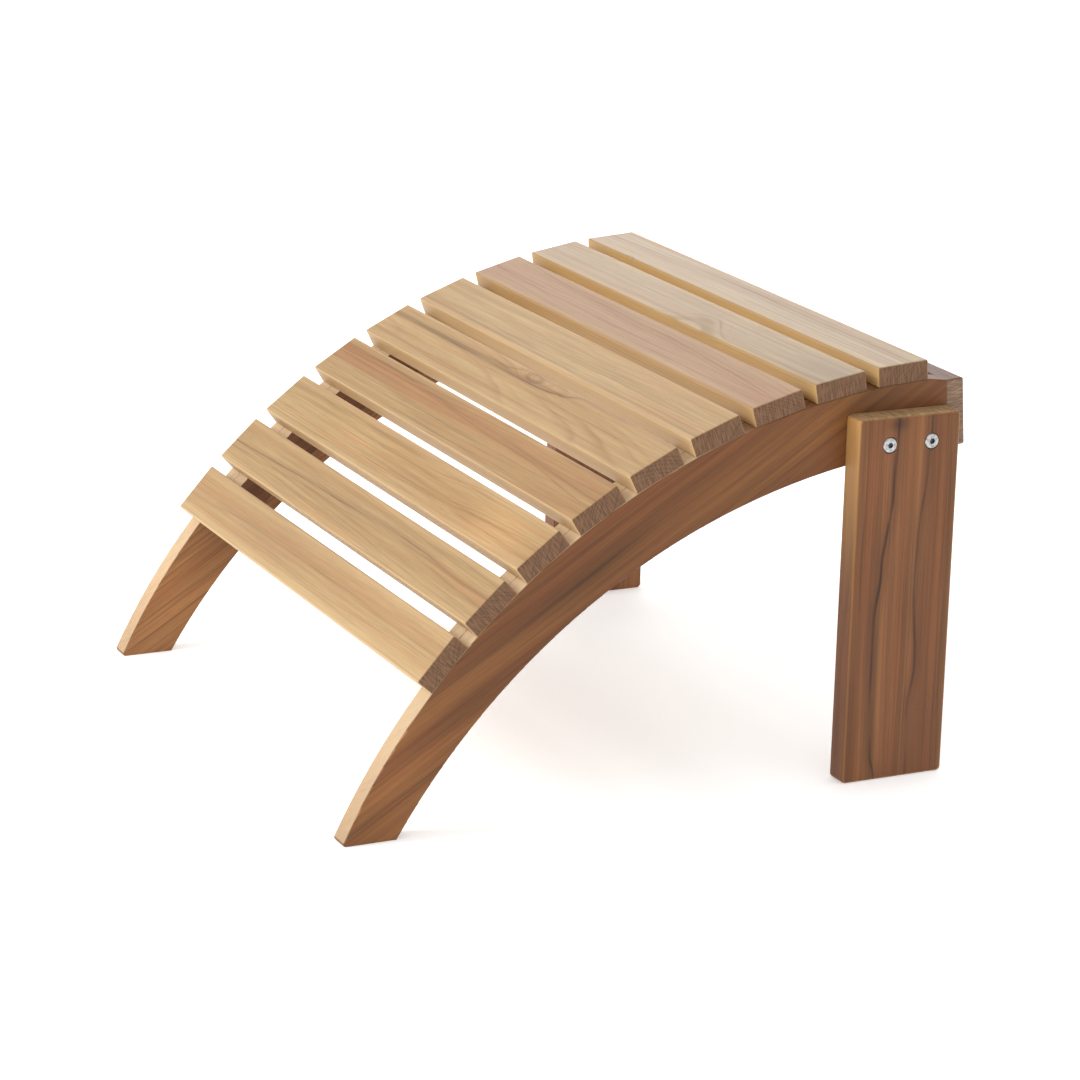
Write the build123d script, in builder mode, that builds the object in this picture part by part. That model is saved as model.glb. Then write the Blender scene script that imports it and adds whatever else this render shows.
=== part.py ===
from build123d import *
from math import acos, asin, cos, degrees, radians, sin, sqrt
import os

# Footstool of an Adirondack chair, in teak, millimetres.
# +X is the right side as seen from the front, -Y is the low front end that rests on the ground,
# +Y is the high rear end that stands against the chair, +Z is up.
# The origin is on the ground, in the middle of the whole piece.

# ---- overall ----
depth = 560.0
slat_length = 540.0

# ---- slats: nine equal flat boards across the arch ----
slat_count = 9
slat_width = 47.5
slat_thickness = 17.0
slat_pitch = 58.2              # measured along the top of the arch
rear_slat_angle = 93.9         # place of the rearmost slat on the arch, from +Y towards +Z
slat_corner_radius = 1.5
slat_top_radius = 1.5
slat_bottom_radius = 1.0

# ---- side rails: arched planks whose low ends are the front feet ----
rail_thickness = 20.0
arch_radius = 598.6            # top edge
arch_centre_z = -258.9
belly_radius = 583.0           # bottom edge
belly_centre_y = 265.1
belly_centre_z = -302.5
shoulder_gap = 3.0             # the top edge leaves the arch this far behind the last slat
shoulder_radius = 40.0
rail_outer_radius = 1.5
rail_inner_radius = 0.6
toe_radius = 2.5
heel_radius = 7.0

# ---- battens: curved strips inside the rails that carry the screws of the slats ----
batten_thickness = 20.0
batten_depth = 30.0
batten_inset = 5.0             # behind the outer edges of the first and last slats
batten_edge_radius = 0.6

# ---- rear legs: upright planks bolted to the outside of the rails ----
leg_thickness = 21.5
leg_width = 96.5
leg_height = 316.5
leg_overhang = 2.4             # behind the rear end of the rail
leg_corner_radius = 4.0
leg_outer_radius = 3.0
leg_inner_radius = 0.8

# ---- rear apron: a board across the ends of both rails, its foot leaning out to the rear ----
apron_thickness = 16.5
apron_height = 58.0
apron_top = 337.2              # front edge of its top
apron_lean = radians(4.5)
apron_edge_radius = 2.0

# ---- leg bolts and their sleeve nuts ----
bolt_spacing = 40.0
bolt_offset = 1.5              # pair set this far behind the middle of the leg
bolt_drop = 24.0               # below the top of the leg
bolt_radius = 3.0
bolt_length = 34.0
bolt_head_radius = 6.5
bolt_head_height = 2.2
bolt_head_chamfer = 0.7
bolt_hole_radius = 3.25
counterbore_radius = 7.2
counterbore_depth = 2.0
socket_radius = 2.5
socket_depth = 1.8
sleeve_radius = 4.0
sleeve_length = 14.0
sleeve_bore_radius = 3.05
sleeve_hole_radius = 4.1

# ---- countersunk screws ----
screw_radius = 2.0
screw_tip_length = 5.0
screw_head_radius = 4.2
screw_head_height = 2.2
screw_clearance_radius = 2.2
screw_sink_radius = 4.7
screw_seat_depth = 0.3         # heads sit this far below the face
pilot_radius = 2.05
pilot_extra = 1.5              # pilot holes run this far past the screws' tips
recess_width = 0.9
recess_length = 4.6
recess_depth = 1.3
slat_screw_length = 40.0       # up through the battens into the slats
slat_screw_spacing = 22.0
batten_screw_length = 34.0     # sideways through the battens into the rails
batten_screw_slats = (2, 4, 6, 8)     # one under the middle of each of these slats
apron_screw_length = 40.0      # forwards through the apron into the ends of the rails
apron_screw_drops = (10.0, 32.0)    # below the top of the apron

# ---- derived places ----
toe_lean = asin(-arch_centre_z / arch_radius)
toe_setback = toe_radius * ((1 + sin(toe_lean)) / cos(toe_lean) - 1)
foot_y = -depth / 2 - toe_setback
apron_edge_setback = apron_edge_radius * (cos(apron_lean) + sin(apron_lean) - 1)
apron_reach = apron_thickness * cos(apron_lean) + apron_height * sin(apron_lean)
rail_end_y = depth / 2 + apron_edge_setback - apron_reach
rail_outer_x = slat_length / 2
rail_inner_x = rail_outer_x - rail_thickness
rail_middle_x = rail_outer_x - rail_thickness / 2
batten_inner_x = rail_inner_x - batten_thickness
batten_middle_x = rail_inner_x - batten_thickness / 2
leg_outer_x = rail_outer_x + leg_thickness
leg_middle_y = rail_end_y + leg_overhang - leg_width / 2
arch_centre_y = foot_y + sqrt(arch_radius**2 - arch_centre_z**2)
seat_radius = sqrt(arch_radius**2 - (slat_width / 2) ** 2)
slat_step = degrees(slat_pitch / arch_radius)
bolt_z = leg_height - bolt_drop
bolt_ys = [leg_middle_y + bolt_offset + side * bolt_spacing / 2 for side in (-1, 1)]
bolt_points = [(y, bolt_z) for y in bolt_ys]
belly_foot_y = belly_centre_y - sqrt(belly_radius**2 - belly_centre_z**2)

os.makedirs("parts", exist_ok=True)


def save(builder, name):
    """Label a finished piece and write it as its own STEP file."""
    builder.part.label = name
    export_step(builder.part, "parts/" + name + ".step")


def on_circle(centre_y, centre_z, radius, angle):
    """Point (y, z) of a circle, its angle in degrees from +Y towards +Z."""
    turn = radians(angle)
    return (centre_y + radius * cos(turn), centre_z + radius * sin(turn))


def arch_point(angle, radius=arch_radius):
    """Point (y, z) on the top edge of the rail, or on a circle about the same centre."""
    return on_circle(arch_centre_y, arch_centre_z, radius, angle)


def belly_point(angle):
    """Point (y, z) on the bottom edge of the rail."""
    return on_circle(belly_centre_y, belly_centre_z, belly_radius, angle)


def slat_angle(number):
    """Place of slat 1 (front) to slat 9 (rear) on the arch."""
    return rear_slat_angle + (slat_count - number) * slat_step


def seat_plane(number):
    """Plane of a slat's underside: x across the stool, y towards the rear, z out of the arch."""
    y, z = arch_point(slat_angle(number), seat_radius)
    turn = radians(slat_angle(number))
    return Plane(origin=(0, y, z), x_dir=(1, 0, 0), z_dir=(0, cos(turn), sin(turn)))


slat_numbers = range(1, slat_count + 1)
seat_planes = {number: seat_plane(number) for number in slat_numbers}

# ---- planes of the screw heads ----
# Under each slat, where its screws meet the curved underside of the battens, facing down.
batten_belly_radius = arch_radius - batten_depth
screw_place_radius = sqrt(batten_belly_radius**2 - (slat_screw_spacing / 2) ** 2)
slat_screw_drop = seat_radius - screw_place_radius
slat_screw_faces = {
    number: Plane(plane.offset(-slat_screw_drop).origin, x_dir=plane.x_dir, z_dir=-plane.z_dir)
    for number, plane in seat_planes.items()
}
slat_pilot_depth = screw_seat_depth + slat_screw_length + pilot_extra - slat_screw_drop

# On the inner faces of the battens, halfway down them.
batten_screw_points = [
    arch_point(slat_angle(number), arch_radius - batten_depth / 2) for number in batten_screw_slats
]
batten_screw_faces = {
    side: [
        Plane(origin=(side * batten_inner_x, y, z), x_dir=(0, 1, 0), z_dir=(-side, 0, 0))
        for y, z in batten_screw_points
    ]
    for side in (-1, 1)
}
batten_pilot_depth = screw_seat_depth + batten_screw_length + pilot_extra - batten_thickness

# On the rear face of the apron, whose front face lies against the ends of the rails.
apron_plane = Plane(
    origin=(0, rail_end_y, apron_top),
    x_dir=(-1, 0, 0),
    z_dir=(0, cos(apron_lean), sin(apron_lean)),
)
apron_rear_plane = apron_plane.offset(apron_thickness)
apron_screw_points = {
    side: [(-side * rail_middle_x, -drop) for drop in apron_screw_drops] for side in (-1, 1)
}
apron_pilot_depth = screw_seat_depth + apron_screw_length + pilot_extra - apron_thickness

# ---- slats ----
for number in slat_numbers:
    plane = seat_planes[number]
    outward = Axis(plane.origin, plane.z_dir)
    with BuildPart() as slat:
        with BuildSketch(plane):
            Rectangle(slat_length, slat_width)
        extrude(amount=slat_thickness)
        fillet(slat.edges().filter_by(outward), radius=slat_corner_radius)
        fillet(slat.faces().sort_by(outward)[-1].edges(), radius=slat_top_radius)
        fillet(slat.faces().sort_by(outward)[0].edges(), radius=slat_bottom_radius)
        with BuildSketch(plane):
            with GridLocations(2 * batten_middle_x, slat_screw_spacing, 2, 2):
                Circle(pilot_radius)
        extrude(amount=slat_pilot_depth, mode=Mode.SUBTRACT)
    save(slat, "slat_" + str(number))

# Room for the slats, cut from the tops of the rails and battens as flat seats.
with BuildPart() as slat_room:
    for number in slat_numbers:
        with BuildSketch(seat_planes[number]):
            Rectangle(slat_length, slat_width)
        extrude(amount=slat_thickness)

# ---- side rails ----
half_slat_angle = degrees(asin(slat_width / 2 / arch_radius))
shoulder_angle = slat_angle(slat_count) - half_slat_angle - degrees(shoulder_gap / arch_radius)
arch_middle_angle = (180 - degrees(toe_lean) + shoulder_angle) / 2
shoulder = arch_point(shoulder_angle)
belly_foot_angle = 180 - degrees(asin(-belly_centre_z / belly_radius))

# The rear end slants with the apron. Near it the bottom edge runs on straight, square to that end.
belly_end_angle = 90 + degrees(apron_lean)
belly_middle_angle = (belly_foot_angle + belly_end_angle) / 2
belly_end = belly_point(belly_end_angle)
straight_run = (rail_end_y - belly_end[0]) * cos(apron_lean) + (apron_top - belly_end[1]) * sin(apron_lean)
bottom_end = (
    belly_end[0] + straight_run * cos(apron_lean),
    belly_end[1] + straight_run * sin(apron_lean),
)
top_end = (rail_end_y, apron_top)

with BuildPart() as side_rail_right:
    with BuildSketch(Plane.YZ.offset(rail_inner_x)) as rail_outline:
        with BuildLine():
            ThreePointArc((foot_y, 0), arch_point(arch_middle_angle), shoulder)
            Line(shoulder, top_end)
            Line(top_end, bottom_end)
            Line(bottom_end, belly_end)
            ThreePointArc(belly_end, belly_point(belly_middle_angle), (belly_foot_y, 0))
            Line((belly_foot_y, 0), (foot_y, 0))
        make_face()
        foot_corners = rail_outline.vertices().group_by(Axis.Y)[0].sort_by(Axis.X)
        fillet(foot_corners[0], radius=toe_radius)
        fillet(foot_corners[-1], radius=heel_radius)
        fillet(rail_outline.vertices().group_by(Axis.Y)[-1], radius=shoulder_radius)
    extrude(amount=rail_thickness)
    outer_edges = side_rail_right.faces().sort_by(Axis.X)[-1].edges()
    fillet(outer_edges.filter_by_position(Axis.Y, foot_y, rail_end_y), radius=rail_outer_radius)
    inner_edges = side_rail_right.faces().sort_by(Axis.X)[0].edges()
    fillet(inner_edges.filter_by_position(Axis.Y, foot_y, rail_end_y), radius=rail_inner_radius)
    add(slat_room.part, mode=Mode.SUBTRACT)
    with Locations(Plane.YZ.offset(rail_outer_x)):
        with Locations(*bolt_points):
            Hole(sleeve_hole_radius, depth=rail_thickness)
    with BuildSketch(apron_plane):
        with Locations(*apron_screw_points[1]):
            Circle(pilot_radius)
    extrude(amount=-apron_pilot_depth, mode=Mode.SUBTRACT)
    with BuildSketch(Plane.YZ.offset(rail_inner_x)):
        with Locations(*batten_screw_points):
            Circle(pilot_radius)
    extrude(amount=batten_pilot_depth, mode=Mode.SUBTRACT)
save(side_rail_right, "side_rail_right")

with BuildPart() as side_rail_left:
    mirror(side_rail_right.part, about=Plane.YZ)
save(side_rail_left, "side_rail_left")

# ---- battens ----
batten_inset_angle = half_slat_angle - degrees(batten_inset / arch_radius)
batten_front_angle = slat_angle(1) + batten_inset_angle
batten_rear_angle = slat_angle(slat_count) - batten_inset_angle
batten_middle_angle = (batten_front_angle + batten_rear_angle) / 2
batten_top = [
    arch_point(angle) for angle in (batten_front_angle, batten_middle_angle, batten_rear_angle)
]
batten_bottom = [
    arch_point(angle, batten_belly_radius)
    for angle in (batten_rear_angle, batten_middle_angle, batten_front_angle)
]

with BuildPart() as slat_batten_right:
    with BuildSketch(Plane.YZ.offset(batten_inner_x)):
        with BuildLine():
            ThreePointArc(*batten_top)
            Line(batten_top[-1], batten_bottom[0])
            ThreePointArc(*batten_bottom)
            Line(batten_bottom[-1], batten_top[0])
        make_face()
    extrude(amount=batten_thickness)
    fillet(slat_batten_right.faces().sort_by(Axis.X)[-1].edges(), radius=batten_edge_radius)
    fillet(slat_batten_right.faces().sort_by(Axis.X)[0].edges(), radius=batten_edge_radius)
    add(slat_room.part, mode=Mode.SUBTRACT)
    for number in slat_numbers:
        with Locations(slat_screw_faces[number]):
            with Locations((batten_middle_x, 0)):
                with GridLocations(0, slat_screw_spacing, 1, 2):
                    CounterSinkHole(screw_clearance_radius, screw_sink_radius, depth=slat_screw_drop)
    with Locations(*batten_screw_faces[1]):
        CounterSinkHole(screw_clearance_radius, screw_sink_radius, depth=batten_thickness)
save(slat_batten_right, "slat_batten_right")

with BuildPart() as slat_batten_left:
    mirror(slat_batten_right.part, about=Plane.YZ)
save(slat_batten_left, "slat_batten_left")

# ---- rear legs ----
with BuildPart() as rear_leg_right:
    with BuildSketch(Plane.YZ.offset(rail_outer_x)):
        with Locations((leg_middle_y, leg_height / 2)):
            Rectangle(leg_width, leg_height)
    extrude(amount=leg_thickness)
    fillet(rear_leg_right.edges().filter_by(Axis.X), radius=leg_corner_radius)
    fillet(rear_leg_right.faces().sort_by(Axis.X)[-1].edges(), radius=leg_outer_radius)
    fillet(rear_leg_right.faces().sort_by(Axis.X)[0].edges(), radius=leg_inner_radius)
    with Locations(Plane.YZ.offset(leg_outer_x)):
        with Locations(*bolt_points):
            CounterBoreHole(bolt_hole_radius, counterbore_radius, counterbore_depth, depth=leg_thickness)
save(rear_leg_right, "rear_leg_right")

with BuildPart() as rear_leg_left:
    mirror(rear_leg_right.part, about=Plane.YZ)
save(rear_leg_left, "rear_leg_left")

# ---- rear apron ----
with BuildPart() as rear_apron:
    with BuildSketch(apron_plane):
        with Locations((0, -apron_height / 2)):
            Rectangle(slat_length, apron_height)
    extrude(amount=apron_thickness)
    across = Axis(apron_plane.origin, apron_plane.z_dir)
    fillet(rear_apron.edges().filter_by(across), radius=apron_edge_radius)
    fillet(rear_apron.faces().sort_by(across)[-1].edges(), radius=apron_edge_radius)
    with Locations(apron_rear_plane):
        with Locations(*apron_screw_points[-1], *apron_screw_points[1]):
            CounterSinkHole(screw_clearance_radius, screw_sink_radius, depth=apron_thickness)
save(rear_apron, "rear_apron")

# ---- leg bolts: low round head with a hexagon socket ----
with BuildPart() as bolt:
    Cylinder(bolt_head_radius, bolt_head_height, align=(Align.CENTER, Align.CENTER, Align.MIN))
    chamfer(bolt.edges().sort_by(Axis.Z)[-1], length=bolt_head_chamfer)
    with BuildSketch():
        Circle(bolt_radius)
    extrude(amount=-bolt_length)
    with BuildSketch(Plane.XY.offset(bolt_head_height)):
        RegularPolygon(radius=socket_radius, side_count=6)
    extrude(amount=-socket_depth, mode=Mode.SUBTRACT)

bolt_seat_x = leg_outer_x - counterbore_depth
bolt_seats = [
    Plane(origin=(side * bolt_seat_x, y, bolt_z), x_dir=(0, 1, 0), z_dir=(side, 0, 0))
    for side in (-1, 1)
    for y in bolt_ys
]
with BuildPart() as leg_bolts:
    with Locations(*bolt_seats):
        add(bolt.part)
save(leg_bolts, "leg_bolts")

# ---- sleeve nuts on the inner faces of the rails ----
with BuildPart() as sleeve_nut:
    Cylinder(bolt_head_radius, bolt_head_height, align=(Align.CENTER, Align.CENTER, Align.MIN))
    chamfer(sleeve_nut.edges().sort_by(Axis.Z)[-1], length=bolt_head_chamfer)
    with BuildSketch():
        Circle(sleeve_radius)
    extrude(amount=-sleeve_length)
    with BuildSketch(Plane.XY.offset(-sleeve_length)):
        Circle(sleeve_bore_radius)
    extrude(amount=sleeve_length, mode=Mode.SUBTRACT)
    with BuildSketch(Plane.XY.offset(bolt_head_height)):
        RegularPolygon(radius=socket_radius, side_count=6)
    extrude(amount=-socket_depth, mode=Mode.SUBTRACT)

nut_seats = [
    Plane(origin=(side * rail_inner_x, y, bolt_z), x_dir=(0, 1, 0), z_dir=(-side, 0, 0))
    for side in (-1, 1)
    for y in bolt_ys
]
with BuildPart() as sleeve_nuts:
    with Locations(*nut_seats):
        add(sleeve_nut.part)
save(sleeve_nuts, "sleeve_nuts")


def countersunk_screw(length):
    """Screw with a cross recess, pointing down, with z = 0 at the face of its head."""
    with BuildPart() as screw:
        with BuildSketch(Plane.XZ):
            with BuildLine():
                Polyline(
                    (0, 0),
                    (screw_head_radius, 0),
                    (screw_radius, -screw_head_height),
                    (screw_radius, screw_tip_length - length),
                    (0, -length),
                    close=True,
                )
            make_face()
        revolve(axis=Axis.Z)
        with BuildSketch():
            Rectangle(recess_length, recess_width)
            Rectangle(recess_width, recess_length)
        extrude(amount=-recess_depth, mode=Mode.SUBTRACT)
    return screw.part


# ---- slat screws ----
slat_screw = countersunk_screw(slat_screw_length)
with BuildPart() as slat_screws:
    for number in slat_numbers:
        with Locations(slat_screw_faces[number].offset(-screw_seat_depth)):
            with GridLocations(2 * batten_middle_x, slat_screw_spacing, 2, 2):
                add(slat_screw)
save(slat_screws, "slat_screws")

# ---- batten screws ----
batten_screw = countersunk_screw(batten_screw_length)
batten_screw_seats = [
    face.offset(-screw_seat_depth) for side in (-1, 1) for face in batten_screw_faces[side]
]
with BuildPart() as batten_screws:
    with Locations(*batten_screw_seats):
        add(batten_screw)
save(batten_screws, "batten_screws")

# ---- apron screws ----
apron_screw = countersunk_screw(apron_screw_length)
with BuildPart() as apron_screws:
    with Locations(apron_rear_plane.offset(-screw_seat_depth)):
        with Locations(*apron_screw_points[-1], *apron_screw_points[1]):
            add(apron_screw)
save(apron_screws, "apron_screws")
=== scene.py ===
import math

import bpy
from mathutils import Matrix, Vector


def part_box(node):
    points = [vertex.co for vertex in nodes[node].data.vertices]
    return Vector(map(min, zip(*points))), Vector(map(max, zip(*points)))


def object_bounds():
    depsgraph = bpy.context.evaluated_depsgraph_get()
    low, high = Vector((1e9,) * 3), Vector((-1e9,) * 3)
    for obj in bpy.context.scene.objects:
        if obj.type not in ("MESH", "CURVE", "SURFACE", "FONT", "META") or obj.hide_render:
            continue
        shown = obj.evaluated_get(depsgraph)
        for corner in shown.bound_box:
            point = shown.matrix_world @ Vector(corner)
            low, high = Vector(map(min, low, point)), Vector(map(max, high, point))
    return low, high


# A slatted teak footstool: nine flat slats on two arched rails, two bolted rear legs, a rear apron.
# The CAD nodes keep their shapes; this script gives every board its own solid, procedural teak.

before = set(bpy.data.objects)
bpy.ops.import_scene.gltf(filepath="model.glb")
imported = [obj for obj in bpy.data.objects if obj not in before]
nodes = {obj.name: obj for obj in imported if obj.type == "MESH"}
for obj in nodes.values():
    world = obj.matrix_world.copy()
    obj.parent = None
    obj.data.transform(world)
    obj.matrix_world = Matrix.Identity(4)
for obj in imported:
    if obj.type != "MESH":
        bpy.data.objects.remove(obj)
cad_low, cad_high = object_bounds()
centre = (cad_low + cad_high) / 2

X_AXIS = Vector((1, 0, 0))
Y_AXIS = Vector((0, 1, 0))
Z_AXIS = Vector((0, 0, 1))


# ---------------------------------------------------------------- colours

def display(red, green, blue):
    """A colour given as display values from 0 to 255, in linear light."""
    channels = [value / 255 for value in (red, green, blue)]
    return [c / 12.92 if c <= 0.04045 else ((c + 0.055) / 1.055) ** 2.4 for c in channels]


# ---------------------------------------------------------------- node graphs

class Graph:
    """One material's nodes. Every argument may be a number, a tuple or another node's output."""

    def __init__(self, name):
        self.material = bpy.data.materials.new(name)
        self.material.use_nodes = True
        self.tree = self.material.node_tree
        self.tree.nodes.clear()

    def node(self, kind, inputs=None, **settings):
        made = self.tree.nodes.new(kind)
        for key, value in settings.items():
            setattr(made, key, value)
        for key, value in (inputs or {}).items():
            self.feed(made.inputs[key], value)
        return made

    def feed(self, socket, value):
        if isinstance(value, bpy.types.NodeSocket):
            self.tree.links.new(value, socket)
        elif socket.type == "RGBA":
            socket.default_value = (*value[:3], 1.0)
        else:
            socket.default_value = value

    def math(self, operation, a, b=0.0, c=0.0, clamp=False):
        made = self.node("ShaderNodeMath", {0: a, 1: b, 2: c}, operation=operation, use_clamp=clamp)
        return made.outputs[0]

    def add(self, a, b):
        return self.math("ADD", a, b)

    def subtract(self, a, b):
        return self.math("SUBTRACT", a, b)

    def times(self, a, b):
        return self.math("MULTIPLY", a, b)

    def hypotenuse(self, a, b):
        return self.math("SQRT", self.add(self.times(a, a), self.times(b, b)))

    def smooth(self, value, low, high, out_low=0.0, out_high=1.0):
        """A soft step from out_low at low to out_high at high."""
        inputs = {"Value": value, "From Min": low, "From Max": high, "To Min": out_low, "To Max": out_high}
        made = self.node("ShaderNodeMapRange", inputs, interpolation_type="SMOOTHSTEP")
        return made.outputs["Result"]

    def vector(self, x, y, z):
        return self.node("ShaderNodeCombineXYZ", {0: x, 1: y, 2: z}).outputs[0]

    def dot(self, a, b):
        made = self.node("ShaderNodeVectorMath", {0: a, 1: b}, operation="DOT_PRODUCT")
        return made.outputs["Value"]

    def noise(self, vector, detail=2.0, roughness=0.5):
        inputs = {"Vector": vector, "Scale": 1.0, "Detail": detail, "Roughness": roughness}
        return self.node("ShaderNodeTexNoise", inputs).outputs["Fac"]

    def noise_line(self, along, detail=1.0):
        inputs = {"W": along, "Scale": 1.0, "Detail": detail}
        return self.node("ShaderNodeTexNoise", inputs, noise_dimensions="1D").outputs["Fac"]

    def ramp(self, value, stops):
        made = self.node("ShaderNodeValToRGB", {"Fac": value})
        elements = made.color_ramp.elements
        while len(elements) < len(stops):
            elements.new(0.5)
        for element, (position, level) in zip(elements, stops):
            element.position = position
            element.color = (level, level, level, 1.0)
        return made.outputs["Color"]

    def mix(self, amount, a, b):
        made = self.node("ShaderNodeMix", data_type="RGBA", clamp_factor=True)
        self.feed(made.inputs[0], amount)
        self.feed(made.inputs[6], a)
        self.feed(made.inputs[7], b)
        return made.outputs[2]

    def scaled(self, colour_or_place, amount):
        made = self.node("ShaderNodeVectorMath", {0: colour_or_place}, operation="SCALE")
        self.feed(made.inputs["Scale"], amount)
        return made.outputs[0]

    def surface(self, colour, roughness, height, bump_distance, **fixed):
        """The surface shader. fixed holds its uniform inputs, set on the shader's own sockets."""
        bump = self.node("ShaderNodeBump", {"Height": height, "Distance": bump_distance})
        shader = self.node("ShaderNodeBsdfPrincipled")
        self.feed(shader.inputs["Base Color"], colour)
        self.feed(shader.inputs["Roughness"], roughness)
        self.feed(shader.inputs["Normal"], bump.outputs[0])
        for key, value in fixed.items():
            shader.inputs[key.replace("_", " ")].default_value = value
        out = self.node("ShaderNodeOutputMaterial")
        self.tree.links.new(shader.outputs[0], out.inputs["Surface"])
        return self.material


# ---------------------------------------------------------------- boards

class Board:
    """A board's own frame: u along the grain, v across its face, w through its thickness."""

    def __init__(self, node, u_axis, v_axis):
        low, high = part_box(node)
        self.node = node
        self.origin = (low + high) / 2
        self.u_axis = u_axis.normalized()
        self.v_axis = v_axis.normalized()
        self.w_axis = self.u_axis.cross(self.v_axis)
        self.rotation = Matrix((self.u_axis, self.v_axis, self.w_axis)).transposed()
        corners = nodes[node].data.vertices
        self.half_v = max((corner.co - self.origin).dot(self.v_axis) for corner in corners)


def slat_board(node):
    """The frame of a board that lies across the stool, from the normal of its largest flat face."""
    areas = {}
    for polygon in nodes[node].data.polygons:
        key = tuple(round(value, 2) for value in polygon.normal)
        areas[key] = areas.get(key, 0.0) + polygon.area
    normal = Vector(max(areas, key=areas.get)).normalized()
    if normal.z < 0:
        normal = -normal
    return Board(node, X_AXIS, normal.cross(X_AXIS))


def rail_board(node):
    """The frame of a rail or a batten: straight grain along the chord of its arch."""
    low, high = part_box(node)
    chord = Vector((0, high.y - low.y, high.z - low.z)).normalized()
    return Board(node, chord, chord.cross(X_AXIS))


# ---------------------------------------------------------------- teak

# bright in each palette is the colour of the painted light on faces turned to the light, also used for worn
# edges
HONEY = {
    "light": display(176, 148, 104),
    "mid": display(160, 128, 84),
    "warm": display(157, 109, 66),
    "dark": display(114, 78, 47),
    "vein": display(98, 66, 40),
    "bright": display(204, 172, 128),
    "end": display(114, 82, 57),
}
ROSE = {
    **HONEY,
    "light": display(162, 132, 99),
    "mid": display(150, 118, 84),
    "warm": display(148, 102, 70),
    "dark": display(110, 75, 50),
    "bright": display(188, 152, 103),
}
# paler, greyer wood for the rear slats: partly their own tone, partly painted sheen of the bright
# surroundings at a grazing view
PALE_SHEEN = {
    **HONEY,
    "light": display(167, 146, 116),
    "mid": display(154, 131, 100),
    "warm": display(153, 116, 86),
    "dark": display(112, 84, 58),
    "bright": display(194, 156, 101),
}
HEART = {
    "light": display(132, 87, 45),
    "mid": display(113, 70, 35),
    "warm": display(108, 60, 31),
    "dark": display(62, 37, 22),
    "vein": display(56, 36, 26),
    "bright": display(208, 181, 144),
    "end": display(110, 83, 55),
}
LEG_TONES = {
    "light": display(136, 90, 53),
    "mid": display(123, 79, 43),
    "warm": display(117, 67, 39),
    "dark": display(70, 43, 27),
    "vein": display(60, 36, 23),
    "bright": display(194, 148, 90),
    "end": display(150, 120, 84),
}
TEAK = {
    "colours": HONEY,
    "seed": 1.0,
    "pith": (0.12, -0.16),       # v and w of the tree's middle, in the board's frame
    "lean": (0.01, 0.02),        # how the tree's middle drifts from the board, per metre of length
    "wander": 0.005,             # how far the grain swings sideways
    "ring": 0.0026,              # width of a year's growth
    "ring_strength": 0.42,       # how dark the late wood of each ring is
    "streaks": 0.4,              # strength of the fine dark streaks along the grain
    "warmth": 0.5,               # strength of the broad warm clouds
    "knots": (),                 # (u, v, half length, half width, lift of the rings, darkness)
    "veins": (),                 # (path of (u, v) points, width, strength)
    "blushes": (),               # (v, half width, strength) of a warmer band along the board
    "painted_light_towards": Vector((0.0, -0.94, -0.34)),  # faces turned this way are painted paler: painted light
    # how strongly the painted light pales those faces
    "painted_light_amount": 0.9,
    "painted_light_span": (-1.0, -0.9),  # u where the painted light begins, and where it is complete
    "arris": 0.0,                # how much paler the rounded edges are: a painted highlight
    "arris_shade": 0.88,         # how bright the rounded edges are beside the faces: painted shade that dims their lit edge
    "edge": 0.25,                # how much paler the face is worn along its two long edges
    "bands": 0.06,               # contrast of the broad light and dark bands along the grain
    "shades": (),                # (u, v, half length, half width, gain) of a darker or paler patch
    "gloss": 0.3,                # specular level
}


# The patterns of the wood: features per metre along and across the grain, an offset that keeps
# the patterns apart, and the noise's detail and roughness.
PATTERNS = {
    "swing_v": (2.6, 9.0, 0.0, 2.0, 0.5),
    "swing_w": (3.0, 9.0, 11.0, 2.0, 0.5),
    "ripple": (24.0, 160.0, 5.0, 2.0, 0.5),
    "fade": (5.0, 60.0, 61.0, 2.0, 0.5),
    "tone": (2.4, 60.0, 21.0, 4.0, 0.6),
    "blush": (1.8, 34.0, 31.0, 3.0, 0.5),
    "patches": (14.0, 60.0, 41.0, 2.0, 0.5),
    "pores": (70.0, 1300.0, 9.0, 1.0, 0.5),
    "streaks": (3.2, 260.0, 17.0, 4.0, 0.7),
    "rust": (3.6, 210.0, 83.0, 3.0, 0.6),
    "fibres": (16.0, 700.0, 2.0, 3.0, 0.65),
    "bands": (1.5, 130.0, 71.0, 3.0, 0.5),
}
SEED_STEP = 7.31             # moves one board's patterns away from another's
RIPPLE = 0.0012              # metres by which the rings ripple
RING_UNEVENNESS = 2.6        # rings by which the widths of the years differ
RING_DRIFT = 130.0           # how fast those widths change, per metre
YEAR_STEP = 0.37             # how much one year's darkness differs from the next
LATE_WOOD = ((0.0, 0.6), (0.12, 0.1), (0.5, 0.16), (0.84, 0.9), (0.92, 1.0), (1.0, 0.6))
VEIN_WAVES = 16.0            # wavers of a vein per metre
EDGE_WEAR_WIDTH = 0.011
END_STROKES = Vector((40.0, 760.0, 90.0))  # features per metre of the sawn ends' strokes
BUMP_HEIGHT = 0.00012


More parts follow.
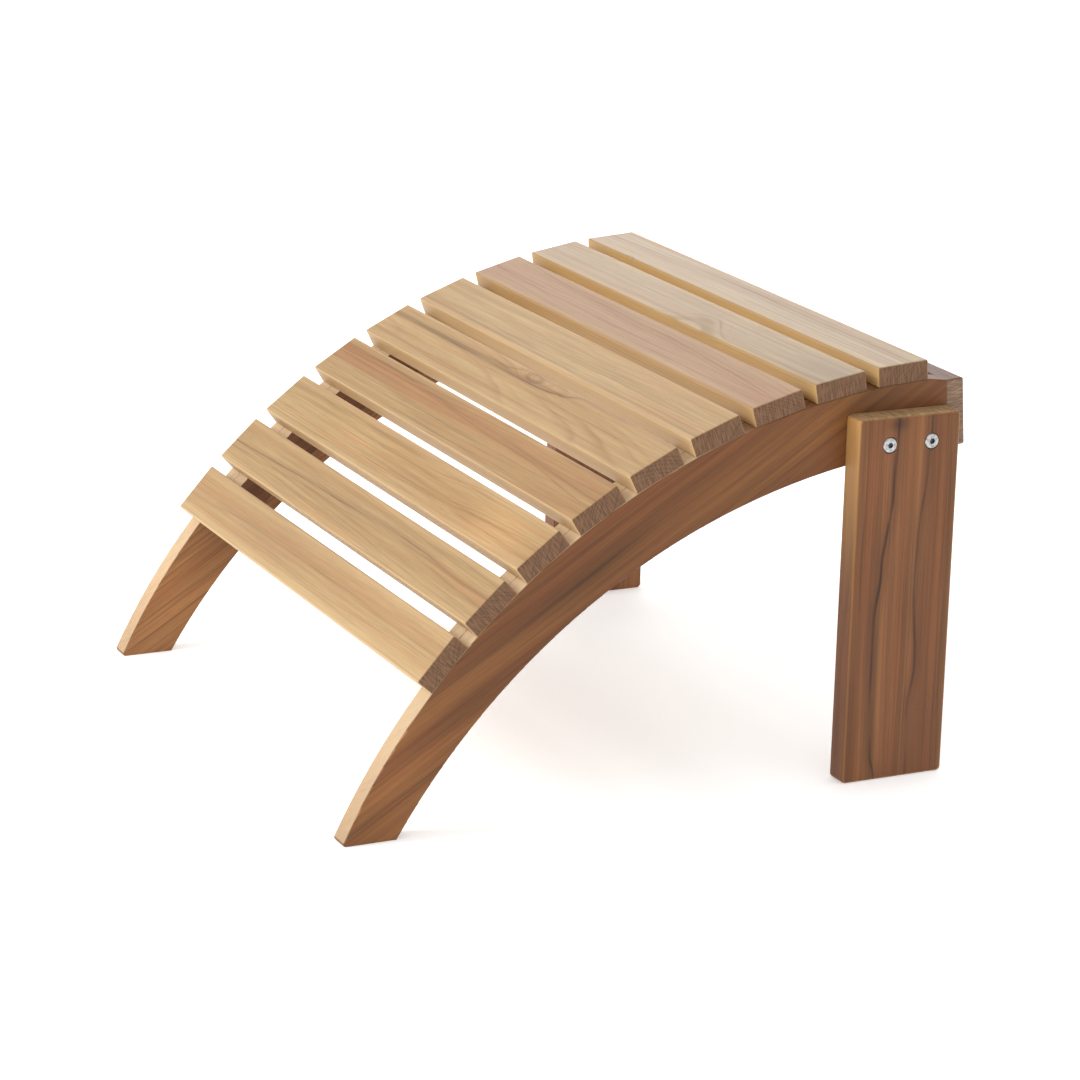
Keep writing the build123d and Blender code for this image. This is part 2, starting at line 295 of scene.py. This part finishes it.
class Teak:
    """Solid teak: growth rings round the tree's middle, seen cut by whatever face the board shows."""

    def __init__(self, board, **changes):
        self.board = board
        self.look = {**TEAK, **changes}
        self.colours = self.look["colours"]
        self.seed = self.look["seed"] * SEED_STEP
        self.g = g = Graph("teak_" + board.node)
        place = g.node("ShaderNodeTexCoord").outputs["Object"]
        mapping = g.node("ShaderNodeMapping", {"Vector": place}, vector_type="TEXTURE")
        mapping.inputs["Location"].default_value = board.origin
        mapping.inputs["Rotation"].default_value = board.rotation.to_euler()
        split = g.node("ShaderNodeSeparateXYZ", {0: mapping.outputs[0]})
        self.u, self.v, self.w = split.outputs

    def pattern(self, name):
        """A noise that is long with the grain and narrow across it."""
        along, across, offset, detail, roughness = PATTERNS[name]
        place = self.g.vector(
            self.g.math("MULTIPLY_ADD", self.u, along, self.seed + offset),
            self.g.math("MULTIPLY_ADD", self.v, across, self.seed),
            self.g.math("MULTIPLY_ADD", self.w, across, offset),
        )
        return self.g.noise(place, detail=detail, roughness=roughness)

    def swing(self, name, width):
        """A pattern that swings to either side of nothing, over width."""
        return self.g.times(self.g.subtract(self.pattern(name), 0.5), width)

    def hump(self, u, v, at, half_u, half_v):
        """A soft elliptical spot: 1 in its middle, 0 far from it."""
        g = self.g
        away_u = g.times(g.subtract(u, at[0]), 1 / half_u)
        away_v = g.times(g.subtract(v, at[1]), 1 / half_v)
        away2 = g.add(g.times(away_u, away_u), g.times(away_v, away_v))
        return g.math("EXPONENT", g.times(away2, -1.0))

    def grow(self):
        """The rings: late is the dark part of each year, line is that part with its fading."""
        g, look = self.g, self.look
        self.swing_v = self.swing("swing_v", look["wander"] * 2)
        swing_w = self.swing("swing_w", look["wander"] * 2)
        drift_v = g.math("MULTIPLY_ADD", self.u, look["lean"][0], self.v)
        drift_w = g.math("MULTIPLY_ADD", self.u, look["lean"][1], self.w)
        from_pith_v = g.subtract(g.add(drift_v, self.swing_v), look["pith"][0])
        from_pith_w = g.subtract(g.add(drift_w, swing_w), look["pith"][1])
        radius = g.add(g.hypotenuse(from_pith_v, from_pith_w), self.swing("ripple", RIPPLE))
        self.knots = 0.0
        for knot_u, knot_v, half_u, half_v, lift, darkness in look["knots"]:
            hump = self.hump(self.u, self.v, (knot_u, knot_v), half_u, half_v)
            radius = g.math("MULTIPLY_ADD", hump, lift, radius)
            outline = g.times(g.smooth(hump, 0.42, 0.70), g.smooth(hump, 0.76, 0.96, 1.0, 0.3))
            self.knots = g.math("MAXIMUM", g.times(outline, darkness), self.knots)
        uneven = g.noise_line(g.math("MULTIPLY_ADD", radius, RING_DRIFT, self.seed))
        rings = g.math("MULTIPLY_ADD", radius, 1 / look["ring"], g.times(uneven, RING_UNEVENNESS))
        self.late = g.ramp(g.math("FRACT", rings), LATE_WOOD)
        year = g.noise_line(g.math("MULTIPLY_ADD", rings, YEAR_STEP, self.seed * 3), detail=0.0)
        fade = g.smooth(self.pattern("fade"), 0.3, 0.65, 0.35, 1.0)
        self.line = g.times(g.times(self.late, g.smooth(year, 0.32, 0.75, 0.18, 1.0)), fade)

    def vein_path(self, points, width):
        """Where a vein runs across the board: v at each u, smoothly through the points."""
        g = self.g
        path = points[0][1]
        for (start, before), (stop, after) in zip(points, points[1:]):
            path = g.add(path, g.smooth(self.u, start, stop, 0.0, after - before))
        waver = g.subtract(g.noise_line(g.times(self.u, VEIN_WAVES)), 0.5)
        return g.math("MULTIPLY_ADD", waver, width * 0.7, path)

    def vein(self, points, width, strength, patches):
        """A dark vein: crisp on one side, soft on the other, in a faint halo."""
        g = self.g
        across = g.times(g.subtract(self.v, self.vein_path(points, width)), 1 / width)
        core = g.times(g.smooth(across, -1.3, -0.1), g.smooth(across, -0.1, 0.7, 1.0, 0.0))
        halo = g.smooth(g.math("ABSOLUTE", across), 0.4, 3.0, 0.34, 0.0)
        return g.times(g.math("MAXIMUM", g.times(core, patches), halo), strength)

    def broad_tone(self):
        """Light and mid wood in clouds, with warm bands along the board."""
        g, look, colours = self.g, self.look, self.colours
        tone = self.pattern("tone")
        colour = g.mix(g.smooth(tone, 0.3, 0.7), colours["light"], colours["mid"])
        warmth = g.smooth(self.pattern("blush"), 0.42, 0.7, 0.0, look["warmth"])
        colour = g.mix(warmth, colour, colours["warm"])
        for blush_v, half_width, strength in look["blushes"]:
            away = g.math("ABSOLUTE", g.subtract(g.add(self.v, g.times(self.swing_v, 0.6)), blush_v))
            band = g.smooth(away, half_width * 0.3, half_width, strength, 0.0)
            colour = g.mix(g.times(band, g.smooth(tone, 0.2, 0.6, 1.0, 0.5)), colour, colours["warm"])
        return colour

    def marks(self, colour):
        """Rings, veins, knots, pores, streaks and fibres, drawn over the broad tone."""
        g, look, colours = self.g, self.look, self.colours
        colour = g.mix(g.times(self.line, look["ring_strength"]), colour, colours["dark"])
        patches = g.smooth(self.pattern("patches"), 0.25, 0.6, 0.4, 1.0)
        for points, width, strength in look["veins"]:
            colour = g.mix(self.vein(points, width, strength, patches), colour, colours["vein"])
        if look["knots"]:
            colour = g.mix(self.knots, colour, colours["dark"])
        self.pores = g.smooth(self.pattern("pores"), 0.6, 0.74)
        colour = g.mix(g.times(self.pores, 0.16), colour, colours["dark"])
        streaks = g.smooth(self.pattern("streaks"), 0.50, 0.70, 0.0, look["streaks"])
        colour = g.mix(streaks, colour, colours["dark"])
        colour = g.mix(g.smooth(self.pattern("rust"), 0.5, 0.68, 0.0, 0.5), colour, colours["warm"])
        self.fibres = self.pattern("fibres")
        return g.scaled(colour, g.smooth(self.fibres, 0.25, 0.75, 0.90, 1.08))

    def shade(self, colour):
        """Broad bands along the grain, then the darker and paler patches of this board."""
        g, bands = self.g, self.look["bands"]
        banding = g.smooth(self.pattern("bands"), 0.3, 0.7, 1.0 + bands, 1.0 - bands)
        colour = g.scaled(colour, banding)
        swung_v = g.add(self.v, self.swing_v)
        for shade_u, shade_v, half_u, half_v, gain in self.look["shades"]:
            patch = self.hump(self.u, swung_v, (shade_u, shade_v), half_u, half_v)
            colour = g.scaled(colour, g.math("MULTIPLY_ADD", patch, gain, 1.0))
        return colour

    def paint_light_and_wear(self, colour):
        """Painted light on faces turned towards the light, worn long edges, and a painted highlight and
        painted shade on the rounded arrises.
        """
        g, look, board = self.g, self.look, self.board
        normal = g.node("ShaderNodeNewGeometry").outputs["Normal"]
        grain = g.math("MULTIPLY_ADD", self.line, -0.12, g.smooth(self.fibres, 0.25, 0.75, 0.94, 1.06))
        # pale is the colour of the painted light, also used for the worn edges and the arrises
        pale = g.scaled(self.colours["bright"], grain)
        # painted light: faces turned towards the light take the paler colour
        lit_faces = g.smooth(g.dot(normal, look["painted_light_towards"]), 0.3, 0.9, 0.0, look["painted_light_amount"])
        lit_faces = g.times(lit_faces, g.smooth(self.u, *look["painted_light_span"]))
        colour = g.mix(lit_faces, colour, pale)
        edge_start = board.half_v - EDGE_WEAR_WIDTH
        edge = g.smooth(g.math("ABSOLUTE", self.v), edge_start, board.half_v, 0.0, look["edge"])
        colour = g.mix(edge, colour, pale)
        through = g.dot(normal, board.w_axis)
        aside2 = g.math("MAXIMUM", g.math("MULTIPLY_ADD", through, g.times(through, -1.0), 1.0), 0.0)
        arris = g.times(g.math("ABSOLUTE", through), g.math("SQRT", aside2))
        # painted highlight and painted shade on the rounded arrises
        colour = g.mix(g.smooth(arris, 0.25, 0.5, 0.0, look["arris"]), colour, pale)
        colour = g.scaled(colour, g.smooth(arris, 0.25, 0.5, 1.0, look["arris_shade"]))
        return self.end_grain(colour, normal)

    def end_grain(self, colour, normal):
        """Dark sawn ends, with fine strokes through the board's thickness."""
        g = self.g
        end = g.smooth(g.math("ABSOLUTE", g.dot(normal, self.board.u_axis)), 0.62, 0.92)
        place = g.vector(*(g.times(a, count) for a, count in zip((self.u, self.v, self.w), END_STROKES)))
        strokes = g.smooth(g.noise(place, detail=3.0), 0.25, 0.75, 0.72, 1.44)
        end_tone = g.math("MULTIPLY_ADD", self.late, -0.26, strokes)
        return g.mix(end, colour, g.scaled(self.colours["end"], end_tone))

    def material(self):
        g = self.g
        self.grow()
        colour = self.paint_light_and_wear(self.shade(self.marks(self.broad_tone())))
        relief = g.add(self.line, g.subtract(self.fibres, 0.5))
        roughness = g.smooth(relief, 0.0, 1.2, 0.5, 0.62)
        fine = g.add(g.times(self.fibres, 0.4), g.times(self.pores, -0.6))
        height = g.add(g.times(self.line, 0.45), fine)
        return g.surface(colour, roughness, height, BUMP_HEIGHT, Specular_IOR_Level=self.look["gloss"])


def dress(node, material):
    """Gives a CAD node its material."""
    for slot in nodes[node].material_slots:
        slot.material = material


def dress_in_teak(board, **look):
    """Gives the CAD node of a board its own teak."""
    dress(board.node, Teak(board, **look).material())


SLAT_LOOKS = {
    1: {
        "pith": (0.10, -0.13),
        "warmth": 0.35,
        "blushes": ((0.006, 0.008, 0.7), (-0.012, 0.005, 0.35)),
        "veins": ((((-0.25, -0.006), (-0.14, 0.001), (0.0, 0.0024), (0.17, 0.0017)), 0.0013, 0.45),),
        "shades": ((-0.08, 0.004, 0.17, 0.03, -0.15),),
    },
    2: {
        "pith": (-0.13, -0.12),
        "warmth": 0.2,
        "shades": ((0.0, -0.005, 0.3, 0.03, -0.1),),
        "veins": (
            (((-0.26, -0.002), (-0.08, 0.003), (0.09, 0.007), (0.14, 0.0066), (0.22, 0.003)), 0.0016, 0.75),
            (((-0.27, -0.008), (-0.05, -0.002), (0.1, 0.001), (0.27, -0.006)), 0.0012, 0.4),
        ),
    },
    3: {
        "pith": (0.09, -0.10),
        "lean": (0.03, 0.05),
        "warmth": 0.3,
        "wander": 0.014,
        "ring": 0.003,
        "shades": ((0.205, -0.002, 0.05, 0.02, 0.3), (-0.10, 0.0, 0.05, 0.012, 0.12)),
    },
    4: {
        "pith": (0.14, -0.12),
        "edge": 0.08,
        "lean": (0.01, 0.03),
        "warmth": 0.4,
        "ring_strength": 0.55,
        "blushes": ((0.010, 0.017, 0.9),),
        "veins": (
            (((-0.2, 0.016), (0.05, 0.010), (0.27, 0.002)), 0.0012, 0.5),
            (((-0.1, 0.011), (0.12, 0.004), (0.27, -0.006)), 0.0010, 0.5),
            (((-0.22, -0.002), (0.0, -0.006), (0.27, -0.014)), 0.0010, 0.22),
        ),
    },
    5: {
        "pith": (-0.02, -0.06),
        "lean": (0.04, 0.03),
        "warmth": 0.2,
        "ring": 0.0034,
        "ring_strength": 0.5,
        "knots": ((0.016, 0.0175, 0.022, 0.008, 0.014, 0.6), (0.10, 0.012, 0.04, 0.006, 0.006, 0.0)),
        "veins": (
            (
                ((0.028, 0.010), (0.050, 0.0112), (0.071, 0.0142), (0.108, 0.0222), (0.26, 0.0226)),
                0.0014,
                0.95,
            ),
            (((-0.12, 0.012), (-0.04, 0.0145), (0.0, 0.021)), 0.0012, 0.6),
        ),
    },
    6: {
        "pith": (0.13, -0.14),
        "warmth": 0.2,
        "ring_strength": 0.34,
        "veins": ((((0.02, -0.0175), (0.06, -0.0185), (0.10, -0.018)), 0.0011, 0.8),),
    },
    7: {
        "colours": ROSE,
        "pith": (-0.10, -0.16),
        "warmth": 0.85,
        "ring_strength": 0.3,
        "blushes": ((0.0, 0.03, 0.45),),
    },
    8: {
        "colours": PALE_SHEEN,
        "pith": (0.03, -0.07),
        "lean": (0.05, 0.04),
        "warmth": 0.2,
        "ring_strength": 0.36,
        "ring": 0.0034,
        "shades": ((0.25, 0.0, 0.06, 0.03, -0.17),),
        "knots": ((0.045, 0.0, 0.045, 0.03, 0.012, 0.0),),
    },
    9: {
        "colours": PALE_SHEEN,
        "pith": (0.15, -0.18),
        "warmth": 0.3,
        "ring_strength": 0.3,
        "knots": ((-0.183, -0.0235, 0.010, 0.004, 0.006, 0.6),),
    },
}
for number, look in SLAT_LOOKS.items():
    dress_in_teak(slat_board("slat_" + str(number)), seed=number, **look)

RAIL = {
    "colours": HEART,
    "pith": (-0.30, 0.10),
    "lean": (0.02, 0.0),
    "wander": 0.012,
    "ring": 0.0042,
    "ring_strength": 0.28,
    "warmth": 0.45,
    "streaks": 0.45,
    "edge": 0.0,
    # painted light on the rail's top edges, stopping towards the rear, where the slats' shadow is painted
    # as darker wood
    "painted_light_towards": Vector((0.0, -0.2, 0.98)),
    "painted_light_amount": 0.95,
    "painted_light_span": (0.17, 0.09),
    "bands": 0.13,
    "shades": (
        (-0.255, -0.03, 0.05, 0.03, 0.4),
        # a darker belly: wood tone, deepened as painted shade
        (-0.03, -0.057, 0.06, 0.011, -0.32),
        (0.20, -0.04, 0.03, 0.015, 0.1),
        # painted shadow behind the last slat
        (0.26, -0.028, 0.03, 0.03, -0.2),
        (0.17, -0.012, 0.06, 0.012, -0.1),
    ),
}
FAR_RAIL = {**RAIL, "colours": {**HEART, "light": display(158, 111, 67), "mid": display(140, 95, 55)}}
# the battens' darker colours are painted shade between the slats; their top edges get painted light towards
# the front
BATTEN = {
    **RAIL,
    "colours": {**HEART, "light": display(112, 72, 40), "mid": display(96, 59, 32)},
    "painted_light_span": (0.125, 0.045),
    "shades": (),
}
dress_in_teak(rail_board("side_rail_right"), seed=21, **RAIL)
dress_in_teak(rail_board("side_rail_left"), seed=23, **FAR_RAIL)
dress_in_teak(rail_board("slat_batten_right"), seed=25, **BATTEN)
dress_in_teak(rail_board("slat_batten_left"), seed=27, **BATTEN)

LEG = {
    "colours": LEG_TONES,
    "pith": (0.26, 0.12),
    "lean": (0.0, 0.0),
    "wander": 0.012,
    "ring": 0.005,
    "ring_strength": 0.4,
    "warmth": 0.6,
    # painted light on the front faces of the legs, which stops low down, leaving painted shade where the
    # arch's shadow falls
    "painted_light_towards": Vector((0.0, -1.0, 0.0)),
    "painted_light_amount": 0.8,
    "painted_light_span": (-0.02, 0.16),
    # a painted highlight on the legs' rounded edges
    "arris": 0.2,
    "arris_shade": 0.94,
    "edge": 0.0,
    "bands": 0.13,
}
RIGHT_VEINS = (
    (
        (
            (-0.158, -0.018), (-0.132, -0.023), (-0.10, -0.0255), (-0.015, -0.0247),
            (0.028, -0.0207), (0.09, -0.0129), (0.158, -0.0101),
        ),
        0.0034,
        1.0,
    ),
    (
        (
            (-0.154, 0.013), (-0.10, 0.0116), (-0.058, 0.0168), (0.017, 0.0121),
            (0.047, 0.0131), (0.117, 0.0193), (0.147, 0.0215),
        ),
        0.0030,
        0.85,
    ),
)
LEFT_VEINS = (
    (((-0.158, 0.015), (0.0, 0.009), (0.158, 0.014)), 0.0026, 0.7),
    (((-0.158, -0.026), (0.02, -0.021), (0.158, -0.028)), 0.0022, 0.5),
)
RIGHT_BLUSHES = ((0.030, 0.014, 0.8), (-0.002, 0.010, 0.3))
RIGHT_SHADES = (
    (0.11, -0.034, 0.04, 0.014, 0.12),
    # painted shade low on the leg's rear edge, near the floor
    (-0.12, 0.034, 0.06, 0.016, -0.15),
    (0.152, -0.014, 0.006, 0.010, -0.5),
    (0.12, 0.034, 0.10, 0.010, -0.1),
    # painted shadow of the arch on the lower front of the leg
    (-0.12, -0.0485, 0.06, 0.006, -0.2),
    (0.02, 0.046, 0.08, 0.006, -0.18),
    (0.0, 0.0, 0.05, 0.012, -0.12),
)
RIGHT_LEG = {**LEG, "veins": RIGHT_VEINS, "blushes": RIGHT_BLUSHES, "shades": RIGHT_SHADES}
dress_in_teak(Board("rear_leg_right", Z_AXIS, Y_AXIS), seed=31, **RIGHT_LEG)
dress_in_teak(Board("rear_leg_left", Z_AXIS, Y_AXIS), seed=34, veins=LEFT_VEINS, **LEG)

APRON_TONES = {
    **LEG_TONES,
    "light": display(108, 82, 60),
    "mid": display(92, 68, 48),
    "end": display(134, 108, 86),
}
APRON = {
    **LEG,
    "colours": APRON_TONES,
    "pith": (-0.12, -0.05),
    # a little painted light on the apron's faces turned to the front
    "painted_light_amount": 0.2,
    "arris": 0.0,
    # painted shade on the apron's rounded edges
    "arris_shade": 0.55,
}
dress_in_teak(slat_board("rear_apron"), seed=41, **APRON)


# ---------------------------------------------------------------- steel

TURNING_PITCH = 0.00035      # metres between the rings left by the lathe
WEAR_RINGS = 2600.0          # rings of wear per metre
STAIN_SIZE = 420.0           # spots of stain per metre
BRUSHING = Vector((300.0, 2400.0, 300.0))  # brush marks per metre along each axis
STEEL_BUMP = 0.00003
POLISHED = (display(192, 193, 195), display(152, 151, 150))
BRUSHED = (display(206, 206, 204), display(160, 159, 156))
# the colour of the painted shade in the sockets
SOCKET_SHADE_COLOUR = display(46, 44, 42)


def turned_steel(name, node):
    """Turned stainless steel: fine rings round each fastener's own axis, and painted shade in its socket.
    """
    low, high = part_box(node)
    middle = (low + high) / 2
    radius = (high.z - low.z) / 2
    g = Graph(name)
    place = g.node("ShaderNodeTexCoord").outputs["Object"]
    split = g.node("ShaderNodeSeparateXYZ", {0: place})
    across = g.subtract(split.outputs[1], middle.y)
    from_axis = g.subtract(g.math("ABSOLUTE", across), (high.y - low.y) / 2 - radius)
    away = g.hypotenuse(from_axis, g.subtract(split.outputs[2], middle.z))
    stain = g.noise(g.scaled(place, STAIN_SIZE), detail=3.0)
    rings = g.math("SINE", g.times(away, 2 * math.pi / TURNING_PITCH))
    worn = g.noise_line(g.times(away, WEAR_RINGS), detail=2.0)
    clean = g.mix(g.smooth(stain, 0.35, 0.7), *POLISHED)
    # painted shade: the socket darkened towards its axis
    socket_shade = g.smooth(away, radius * 0.3, radius * 0.42, 1.0, 0.0)
    colour = g.mix(g.times(socket_shade, 0.85), clean, SOCKET_SHADE_COLOUR)
    roughness = g.smooth(stain, 0.2, 0.8, 0.24, 0.42)
    height = g.add(g.times(rings, 0.3), worn)
    return g.surface(colour, roughness, height, STEEL_BUMP, Metallic=1.0)


def brushed_steel(name):
    """Plain stainless steel with a brushed, slightly dulled skin."""
    g = Graph(name)
    place = g.node("ShaderNodeTexCoord").outputs["Object"]
    stretched = g.node("ShaderNodeVectorMath", {0: place, 1: BRUSHING}, operation="MULTIPLY")
    brushed = g.noise(stretched.outputs[0], detail=3.0)
    colour = g.mix(g.smooth(brushed, 0.3, 0.7), *BRUSHED)
    roughness = g.smooth(brushed, 0.2, 0.8, 0.28, 0.46)
    return g.surface(colour, roughness, brushed, STEEL_BUMP, Metallic=1.0)


dress("leg_bolts", turned_steel("bolt_steel", "leg_bolts"))
dress("sleeve_nuts", turned_steel("nut_steel", "sleeve_nuts"))
for name in ("slat_screws", "batten_screws", "apron_screws"):
    dress(name, brushed_steel("steel_" + name))


# ---------------------------------------------------------------- studio

FLOOR_HALF = 9.0             # metres, large enough to fill the view
FLOOR_GLOW = 0.3             # lifts the floor towards white


def make_floor():
    """A plain pale floor."""
    mesh = bpy.data.meshes.new("floor")
    corners = [(x * FLOOR_HALF, y * FLOOR_HALF, 0) for x, y in ((-1, -1), (1, -1), (1, 1), (-1, 1))]
    mesh.from_pydata(corners, [], [(0, 1, 2, 3)])
    floor = bpy.data.objects.new("floor", mesh)
    bpy.context.scene.collection.objects.link(floor)
    g = Graph("floor_paint")
    place = g.node("ShaderNodeTexCoord").outputs["Object"]
    cloud = g.noise(place, detail=2.0)
    colour = g.mix(cloud, (0.93, 0.93, 0.93), (0.95, 0.95, 0.95))
    glow = {"Emission_Color": (1.0, 1.0, 1.0, 1.0), "Emission_Strength": FLOOR_GLOW}
    mesh.materials.append(g.surface(colour, 0.9, cloud, 0.0001, Specular_IOR_Level=0.1, **glow))


def area_light(name, towards, distance, size, watts):
    """A square soft box in the direction towards, seen from the stool, aimed at its middle."""
    data = bpy.data.lights.new(name, "AREA")
    data.shape = "SQUARE"
    data.size = size
    data.energy = watts
    lamp = bpy.data.objects.new(name, data)
    bpy.context.scene.collection.objects.link(lamp)
    away = Vector(towards).normalized()
    lamp.location = centre + away * distance
    lamp.rotation_euler = away.to_track_quat("Z", "Y").to_euler()


def make_world(strength):
    """Even white light from all round."""
    world = bpy.data.worlds.new("studio")
    world.use_nodes = True
    background = world.node_tree.nodes["Background"]
    background.inputs["Color"].default_value = (1.0, 1.0, 1.0, 1.0)
    background.inputs["Strength"].default_value = strength
    bpy.context.scene.world = world


make_floor()
make_world(1.0)
area_light("key", towards=(-0.13, -0.82, 0.52), distance=3.0, size=1.0, watts=46.0)
area_light("back_panel", towards=(-0.85, 0.45, 0.30), distance=3.2, size=1.6, watts=24.0)


# ---------------------------------------------------------------- camera

CAMERA_AZIMUTH = 63.96       # degrees from the front towards the right side
CAMERA_ELEVATION = 16.52
CAMERA_ROLL = 1.485
CAMERA_DISTANCE = 3.300      # metres
CAMERA_LENS = 125.66         # millimetres, on a 36 mm sensor
CAMERA_AIM = centre + Vector((0.0141, 0.0120, -0.0245))


def make_camera():
    """The camera at the picture's viewing angle."""
    azimuth, elevation = math.radians(CAMERA_AZIMUTH), math.radians(CAMERA_ELEVATION)
    back = Vector((
        math.sin(azimuth) * math.cos(elevation),
        -math.cos(azimuth) * math.cos(elevation),
        math.sin(elevation),
    ))
    data = bpy.data.cameras.new("camera")
    data.sensor_width = 36.0
    data.lens = CAMERA_LENS
    data.clip_start = 0.05
    data.clip_end = 60.0
    camera = bpy.data.objects.new("camera", data)
    bpy.context.scene.collection.objects.link(camera)
    level = back.to_track_quat("Z", "Y").to_matrix().to_4x4()
    camera.matrix_world = Matrix.Translation(CAMERA_AIM + back * CAMERA_DISTANCE) @ level
    camera.matrix_world = camera.matrix_world @ Matrix.Rotation(math.radians(CAMERA_ROLL), 4, "Z")
    bpy.context.scene.camera = camera


make_camera()
bpy.context.scene.view_settings.view_transform = "Standard"
